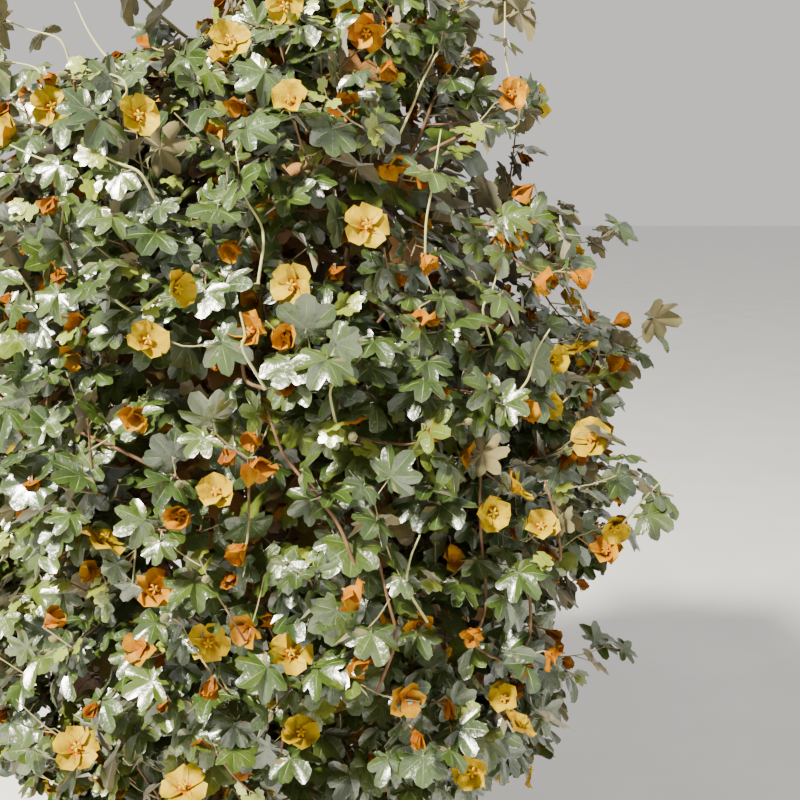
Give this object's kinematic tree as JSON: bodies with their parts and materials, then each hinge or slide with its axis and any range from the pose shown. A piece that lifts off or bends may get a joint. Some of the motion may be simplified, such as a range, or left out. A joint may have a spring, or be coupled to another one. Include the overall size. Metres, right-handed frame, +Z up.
{
  "type": "potted flannel bush",
  "caption": "Evergreen flannel bush with a dense crown of lobed leaves and golden cup-shaped flowers that age to orange, in a plain tapered clay pot",
  "frame": {"origin": "centre of the pot's flat underside, on the trunk's axis", "axes": "+Z up along the trunk, -Y towards the side that the picture shows, +X to the right of that view"},
  "size_m": [1.3127, 1.1152, 1.8847],
  "materials": {
    "clay": "matte",
    "soil": "matte",
    "bark": "matte",
    "foliage": "satin"
  },
  "bodies": {
    "root": {"pot": "clay", "soil": "soil", "trunk": "bark", "leader": "bark", "main_bough_1": "bark", "main_bough_2": "bark", "main_bough_3": "bark", "main_bough_4": "bark", "main_bough_5": "bark", "main_bough_6": "bark", "bough_1_low": "bark", "bough_2_low": "bark", "bough_3_low": "bark", "bough_4_low": "bark", "bough_5_low": "bark", "bough_6_low": "bark", "bough_1_middle": "bark", "bough_2_middle": "bark", "bough_3_middle": "bark", "bough_4_middle": "bark", "bough_5_middle": "bark", "bough_6_middle": "bark", "bough_1_high": "bark", "bough_2_high": "bark", "bough_3_high": "bark", "bough_4_high": "bark", "bough_5_high": "bark", "bough_6_high": "bark", "bough_top_2": "bark", "bough_top_3": "bark", "foliage_1_low": "foliage", "foliage_2_low": "foliage", "foliage_3_low": "foliage", "foliage_4_low": "foliage", "foliage_5_low": "foliage", "foliage_6_low": "foliage", "foliage_1_middle": "foliage", "foliage_2_middle": "foliage", "foliage_3_middle": "foliage", "foliage_4_middle": "foliage", "foliage_5_middle": "foliage", "foliage_6_middle": "foliage", "foliage_1_high": "foliage", "foliage_2_high": "foliage", "foliage_3_high": "foliage", "foliage_4_high": "foliage", "foliage_5_high": "foliage", "foliage_6_high": "foliage", "foliage_1_shoulder": "foliage", "foliage_2_shoulder": "foliage", "foliage_3_shoulder": "foliage", "foliage_4_shoulder": "foliage", "foliage_5_shoulder": "foliage", "foliage_6_shoulder": "foliage", "foliage_top_1": "foliage", "foliage_top_2": "foliage", "foliage_top_3": "foliage"}
  },
  "joints": []
}
